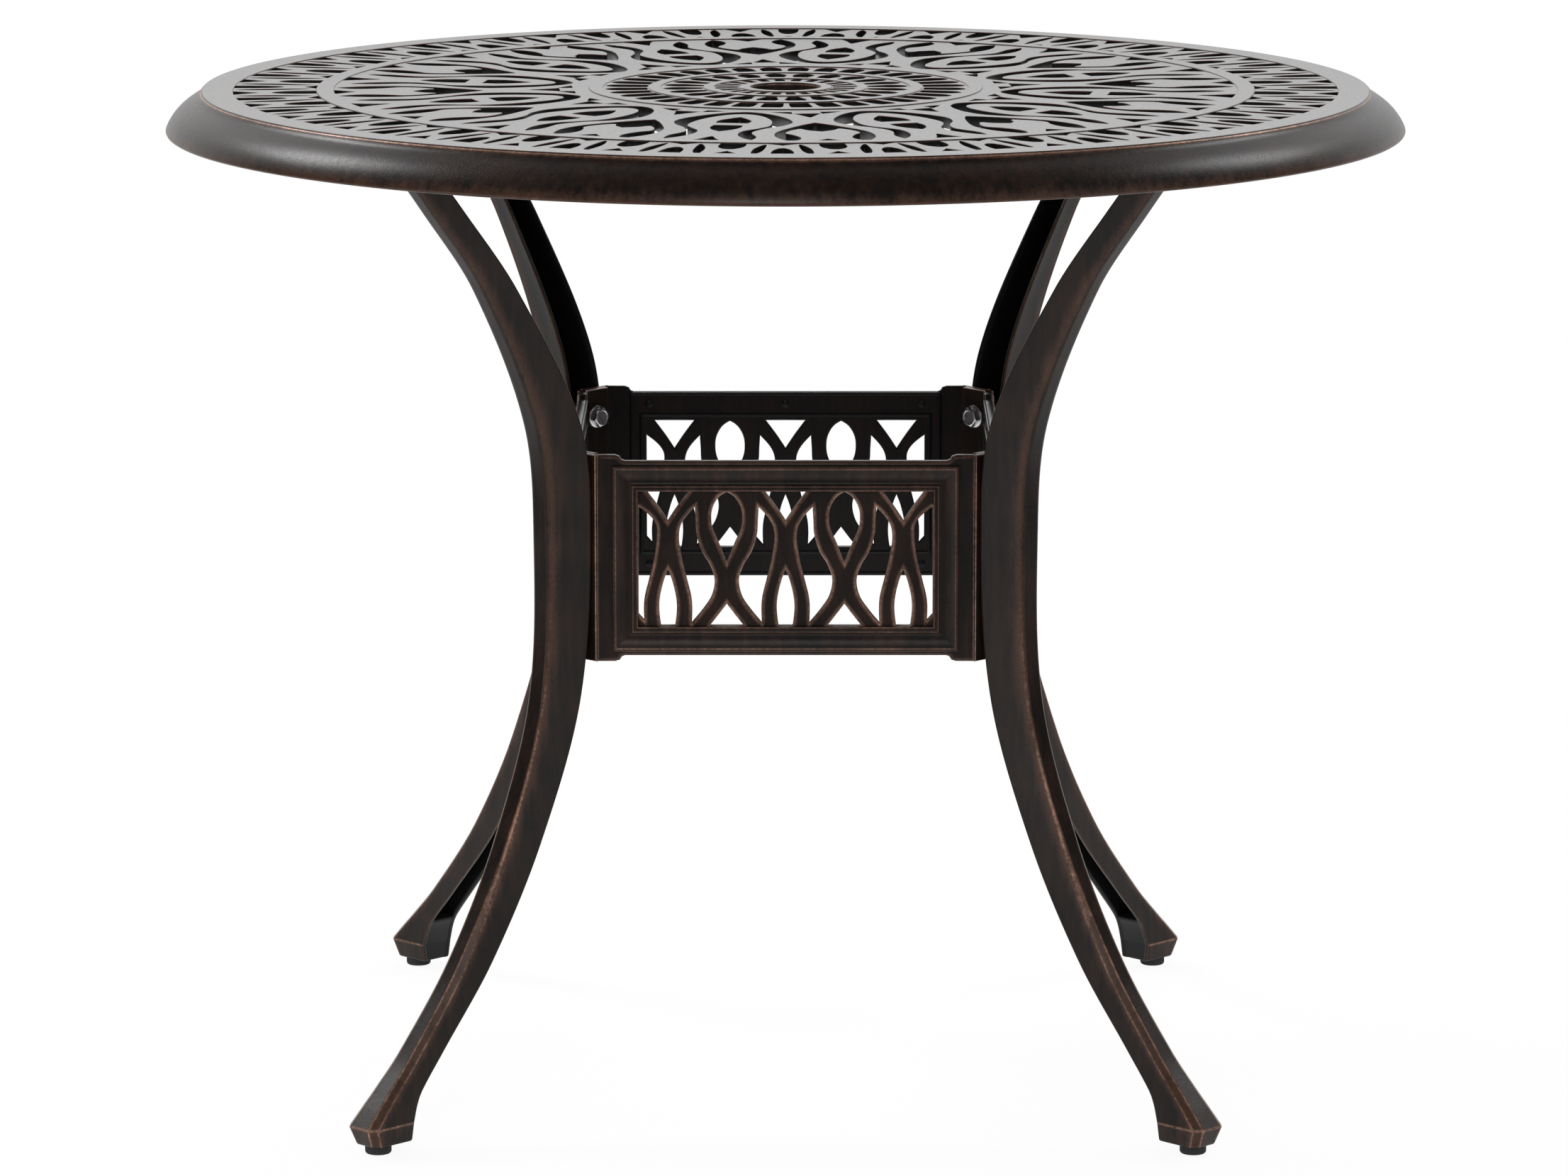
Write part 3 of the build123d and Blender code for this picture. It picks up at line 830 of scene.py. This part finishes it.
# Apron panel: pierced plate, mitred moulding and a bent tab at each end, drawn facing up
half_rail, half_stile = rail_height / 2, stile_height / 2
shoulder = panel_half_width - stile_width
ogee = [
    (shoulder - 3, -half_rail), (shoulder - 0.8, -half_rail - 0.8, S),
    (shoulder + 0.8, -half_stile + 1.0, S), (shoulder + 4, -half_stile),
]
plate_outline = [(-panel_half_width, -half_stile), *mirrored(ogee), *ogee, (panel_half_width, -half_stile)]
plate_outline += [(-p[0], -p[1], *p[2:]) for p in plate_outline]
panel_walls = Shell()
plate_edge = [(reach, drop, 0.6 * rub) for reach, drop, rub in round_edge]
pierced(panel_walls, flowing(plate_outline, step=8), panel_thickness, plate_edge, metal_outside=False)
for outline in lattice:
    placed = [(p[0] * lattice_pitch / 2, (p[1] - 0.5) * lattice_height, *p[2:]) for p in outline]
    pierced(panel_walls, flowing(placed), panel_thickness, round_edge)
# Sections round the lattice: reach, rise and rub
moulding = (
    (0.3, -0.6, 0), (0.2, 1.2, 0), (0.35, 2.6, 0.3), (0.8, 3.1, 0.75), (1.6, 3.25, 0.25), (3.2, 3.25, 0.15),
    (4.2, 3.1, 0.7), (4.7, 2.5, 0.2), (4.9, 1.2, 0), (5.6, 0.7, 0), (7.5, 0.45, 0.1), (9.5, 0.5, 0.2),
    (11.5, 0.9, 0.25), (13.5, 1.6, 0.15), (15.2, 2.6, 0.1), (16.0, 3.1, 0.6), (16.4, 3.2, 0.75),
    (17.2, 3.2, 0.2), (17.9, 3.05, 0.6), (18.3, 2.2, 0.2), (18.45, 1.0, 0), (18.5, -0.6, 0),
)
# The lips and marks of the panel's back are painted near-black: black primer and painted shade
back_lip = (
    (0, 0.5, -1), (0.2, -0.9, -1), (0.6, -1.2, -1), (2.2, -1.2, -1), (2.6, -0.9, -1), (2.8, 0.5, -1),
)


def mitred(profile, width, height):
    """A closed profile of reach, rise and rub, mitred round a rectangle."""
    shell = Shell()
    rings = []
    for reach, rise, rub in profile:
        x, y = width / 2 + reach, height / 2 + reach
        rings.append(shell.ring([(-x, -y, rise), (x, -y, rise), (x, y, rise), (-x, y, rise)], rub))
    shell.bands(rings)
    shell.band(rings[-1], rings[0])
    for one, other in zip(rings, rings[1:]):
        shell.sharp += list(zip(one, other))
    return shell


mark_reach = 103
mark_inset = 9
mark_segments = 24


def apron_panel():
    """The front panel with its frame, the lips and round marks of its back, and the bent tabs."""
    flat = Shell()
    flat.add(closed_plate("panel_walls", panel_walls, 0, -panel_thickness))
    flat.add(mitred(moulding, lattice_width, lattice_height))
    to_back = Matrix.Translation((0, 0, -panel_thickness))
    flat.add(mitred(back_lip, lattice_width + 5, lattice_height + 5), to_back)
    flat.add(mitred(back_lip, lattice_width + 20, rail_height - 6), to_back)
    mark = Shell()
    mark_rings = lathe(mark, [(3.0, 0.3, -1, 1), (3.0, -0.5, -1, 1), (2.7, -0.7, -1, 1), (0.1, -0.7, -1, 1)],
                       mark_segments)
    mark.face(mark_rings[-1], False)
    for x in (-mark_reach, 0, mark_reach):
        for y in (-half_rail + mark_inset, half_rail - mark_inset):
            flat.add(mark, to_back @ Matrix.Translation((x, y, 0)))
    upright = Matrix(((1, 0, 0, 0), (0, 0, -1, -panel_face), (0, 1, 0, panel_middle), (0, 0, 0, 1)))
    shell = flat.placed(upright)
    reach, step = tab_length / sqrt(2), tab_thickness / sqrt(2)
    back = panel_face - panel_thickness
    for side in (-1, 1):
        tab = [(panel_half_width - 2, -panel_face), (panel_half_width, -panel_face),
               (panel_half_width + reach, reach - panel_face),
               (panel_half_width + reach - step, reach + step - panel_face),
               (sqrt(2) * (seat_reach - tab_thickness) - back, -back), (panel_half_width - 2, -back)]
        plan = [(side * x, y) for x, y in tab]
        shell.add(prism(plan, panel_middle - half_stile, panel_middle + half_stile, 0.9))
    return shell


panel = apron_panel()
lap = sqrt(2) * tab_thickness
for side, angle, shift in (("front", 0, 0), ("rear", 180, 0), ("right", 90, lap), ("left", 270, lap)):
    turn = Matrix.Rotation(radians(angle), 4, "Z")
    turned = panel.placed(turn @ Matrix.Translation((0, shift, 0)))
    settle(f"apron_casting_{side}", turned, "table", bronze, "bronze_paint", f"apron_panel_{side}")


def hex_bolt(shank):
    """A hex screw along its axis: head below, washer face at the origin, shank above."""
    shell = Shell()
    count = bolt_segments
    around = [tau * i / count for i in range(count)]
    across = [bolt_half_flats / cos((a + pi / 6) % (pi / 3) - pi / 6) for a in around]
    crown = [(r - 6.1) * 0.6 - 5.3 for r in across]

    def ring(radii, heights):
        radii = radii if isinstance(radii, list) else [radii] * count
        heights = heights if isinstance(heights, list) else [heights] * count
        return shell.ring([(r * cos(a), r * sin(a), h) for r, a, h in zip(radii, around, heights)])

    head = [ring(4.6, -5.05), ring(5.3, -5.3), ring(6.1, -5.3)]
    upper, lower = ring(across, crown), ring(across, -0.4)
    rest = [ring(6.2, -0.05), ring(4.0, 0), ring(4.0, shank - 0.6), ring(3.4, shank)]
    shell.tube([*head, upper, lower, *rest])
    for row in (upper, lower):
        shell.sharp += [(row[i], row[(i + 1) % count]) for i in range(count)]
    shell.sharp += [(upper[i], lower[i]) for i in range(count // 12, count, count // 6)]
    return shell


def flat_washer():
    """A washer lying on the origin, its edges broken."""
    shell = Shell()
    section = ((4.5, 0), (4.5, washer_thickness), (8.2, washer_thickness), (8.5, 1.3), (8.5, 0.3), (8.2, 0),
               (4.5, 0))
    lathe(shell, [(radius, height, 0, 0) for radius, height in section], bolt_segments)
    return shell


def set_fasteners():
    """Sets one fastener at each point, its axis along the point's facing."""
    tree = node_tree("set_fasteners", [("Fastener", "Object"), ("Finish", "Material")])
    given = tree.nodes.new("NodeGroupInput")
    shape = wire(tree, "GeometryNodeObjectInfo", Object=given.outputs["Fastener"])
    facing = wire(tree, "GeometryNodeInputNamedAttribute", {"data_type": "FLOAT_VECTOR"}, Name="facing")
    turn = wire(tree, "FunctionNodeAlignRotationToVector", {"axis": "Z"}, Vector=facing.outputs["Attribute"])
    placed = wire(tree, "GeometryNodeInstanceOnPoints", Points=given.outputs["Geometry"],
                  Instance=shape.outputs["Geometry"], Rotation=turn.outputs[0])
    return delivered(tree, placed.outputs[0], given.outputs["Finish"])


fastener_tree = set_fasteners()


def fastened(name, shape, spots, *nodes):
    """Fasteners of one kind at their spots, each a place and a facing in millimetres."""
    pattern = new_piece(name + "_shape", shape.mesh(name + "_shape"))
    mesh = bpy.data.meshes.new(name)
    mesh.from_pydata([tuple(c * mm for c in place) for place, facing in spots], [], [])
    facings = [c for place, facing in spots for c in facing]
    mesh.attributes.new("facing", "FLOAT_VECTOR", "POINT").data.foreach_set("vector", facings)
    piece = dressed(new_piece(name, mesh), fastener_tree, Fastener=pattern, Finish=zinc)
    bpy.data.objects.remove(pattern)
    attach(piece, "table")
    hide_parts(*nodes)


washer_seat = seat_reach - 2 * tab_thickness - washer_thickness
apron_spots, top_spots = [], []
for angle in corners.values():
    out = Vector((cos(radians(angle)), sin(radians(angle)), 0))
    side = Vector((-out.y, out.x, 0))
    for height in bolt_heights:
        apron_spots.append((tuple(out * washer_seat + Vector((0, 0, height))), tuple(out)))
    for along in (-top_bolt_offset, top_bolt_offset):
        place = out * pad_reach + side * along + Vector((0, 0, leg_top - flange_thickness))
        top_spots.append((tuple(place), (0, 0, 1)))
fastened("apron_hex_bolts", hex_bolt(apron_bolt_length), apron_spots, "apron_bolts")
fastened("apron_flat_washers", flat_washer(), apron_spots, "apron_washers")
fastened("top_hex_bolts", hex_bolt(top_bolt_length), top_spots, "top_bolts")


def glide_foot():
    """Ribbed base of a levelling glide, middle of its floor at the origin."""
    shell = Shell()
    rings = []
    count, ribs, rib_depth = 144, 24, 0.35
    # Radius, height and how deep the ribs are there
    profile = (
        (0.6, 0, 0), (6.6, 0, 0), (8.3, 0.25, 0), (9.1, 0.9, 0.4), (9.4, 1.8, 1), (9.4, 5.4, 1),
        (9.1, 6.1, 0.6), (8.5, 6.5, 0), (4.6, 6.5, 0), (4.1, 6.2, 0), (4.1, 2.0, 0), (0.6, 2.0, 0),
    )
    for radius, height, ribbed in profile:
        ring = []
        for i in range(count):
            angle = tau * i / count
            r = radius - rib_depth * ribbed * (1 - cos(ribs * angle))
            ring.append((r * cos(angle), r * sin(angle), height))
        rings.append(shell.ring(ring))
    shell.tube(rings)
    return shell


def threaded_stud():
    """Threaded stud of a levelling glide."""
    shell = Shell()
    rings = []
    around, pitch, bottom, length = 24, 1.25, 2, 24
    root_radius, thread_depth = 3.45, 0.5
    rows = int(length / pitch * 5)
    for row in range(rows + 1):
        height = bottom + length * row / rows
        ring = []
        for i in range(around):
            share = ((height / pitch) - i / around) % 1
            r = root_radius + thread_depth * abs(2 * share - 1)
            ring.append((r * cos(tau * i / around), r * sin(tau * i / around), height))
        rings.append(shell.ring(ring))
    shell.tube(rings)
    return shell


foot, stud = glide_foot(), threaded_stud()
for corner, angle in corners.items():
    out = Matrix.Translation((glide_reach * cos(radians(angle)), glide_reach * sin(radians(angle)), 0))
    settle(f"glide_foot_{corner}", foot.placed(out), f"base_{corner}", plastic, "black_plastic",
           f"glide_base_{corner}")
    settle(f"glide_thread_{corner}", stud.placed(out), f"stud_{corner}", zinc, "zinc_steel",
           f"glide_stud_{corner}")

# Studio in metres, with the camera as it was fitted to the photograph
floor_half = 1.7
floor_whiteness = 0.92
ambient = 0.7
photo_width = 2212
focal_pixels = 10218.4
sensor_width = 36
camera_place = (-0.00115, -5.2495, 1.3199)
camera_tilt = 0.1822


def studio():
    """Pale floor, soft light and the camera of the photograph."""
    floor_mesh = bpy.data.meshes.new("studio_floor")
    edge = floor_half
    spots = [(-edge, -edge, 0), (edge, -edge, 0), (edge, edge, 0), (-edge, edge, 0)]
    floor_mesh.from_pydata(spots, [], [(0, 1, 2, 3)])
    floor = new_piece("studio_floor", floor_mesh)
    pale = bpy.data.materials.new("pale_floor")
    look = Look(pale)
    camera_ray, glossy_ray, clear_ray = look.rays()
    diffuse = look.node("ShaderNodeBsdfDiffuse", None, {"Color": (0.9, 0.9, 0.9, 1)})
    white = look.node("ShaderNodeEmission")
    share = floor_whiteness * camera_ray + 0.3 * glossy_ray + floor_whiteness * clear_ray
    blend = look.node("ShaderNodeMixShader", None, {0: share, 1: diffuse.outputs[0], 2: white.outputs[0]})
    look.node("ShaderNodeOutputMaterial", None, {"Surface": blend.outputs[0]})
    floor_mesh.materials.append(pale)

    scene.world = bpy.data.worlds.new("studio_light")
    look = Look(scene.world)
    camera_ray, glossy_ray, clear_ray = look.rays()
    generated = look.node("ShaderNodeTexCoord").outputs["Generated"]
    way = look.node("ShaderNodeSeparateXYZ", None, {0: generated})
    backdrop = 0.03 + 1.04 * Value(look, way.outputs["Y"]).step(0.3, 0.8)
    direct = camera_ray + clear_ray
    strength = direct + (1 - direct) * (ambient + glossy_ray * (backdrop - ambient))
    glow = look.node("ShaderNodeBackground", None, {"Color": (1, 1, 1, 1), "Strength": strength})
    look.node("ShaderNodeOutputWorld", None, {"Surface": glow.outputs[0]})

    # Name, place, aim, size and power of each lamp
    for name, place, aim, size, power in (
        ("front_softbox", (-0.3, -3.4, 2.2), (0, 0, 0.5), (1.0, 2.0), 26),
        ("fill_softbox", (2.8, -2.0, 2.0), (0, 0, 0.4), (1.6, 1.6), 6),
        ("left_softbox", (-2.5, 1.2, 2.9), (0, 0, 0.7), (1.0, 1.0), 54),
        ("right_softbox", (2.5, 1.2, 2.9), (0, 0, 0.7), (1.0, 1.0), 30),
        ("low_left_softbox", (-2.4, -1.6, 0.35), (0, 0, 0.7), (0.9, 0.5), 6),
        ("low_right_softbox", (2.4, -1.6, 0.35), (0, 0, 0.7), (0.9, 0.5), 4),
        ("back_softbox", (0, 3.2, 2.6), (0, 0, 0.6), (2.6, 2.6), 36),
    ):
        lamp = bpy.data.lights.new(name, "AREA")
        lamp.shape = "RECTANGLE"
        lamp.size, lamp.size_y = size
        lamp.energy = power
        holder = bpy.data.objects.new(name, lamp)
        holder.location = place
        holder.rotation_euler = (Vector(aim) - Vector(place)).to_track_quat("-Z", "Y").to_euler()
        scene.collection.objects.link(holder)

    lens = bpy.data.cameras.new("photo_camera")
    lens.sensor_fit = "HORIZONTAL"
    lens.sensor_width = sensor_width
    lens.lens = focal_pixels / photo_width * sensor_width
    lens.clip_end = 100
    camera = bpy.data.objects.new("photo_camera", lens)
    camera.location = camera_place
    camera.rotation_euler = (pi / 2 - camera_tilt, 0, 0)
    scene.collection.objects.link(camera)
    scene.camera = camera


studio()
scene.view_settings.view_transform = "Standard"
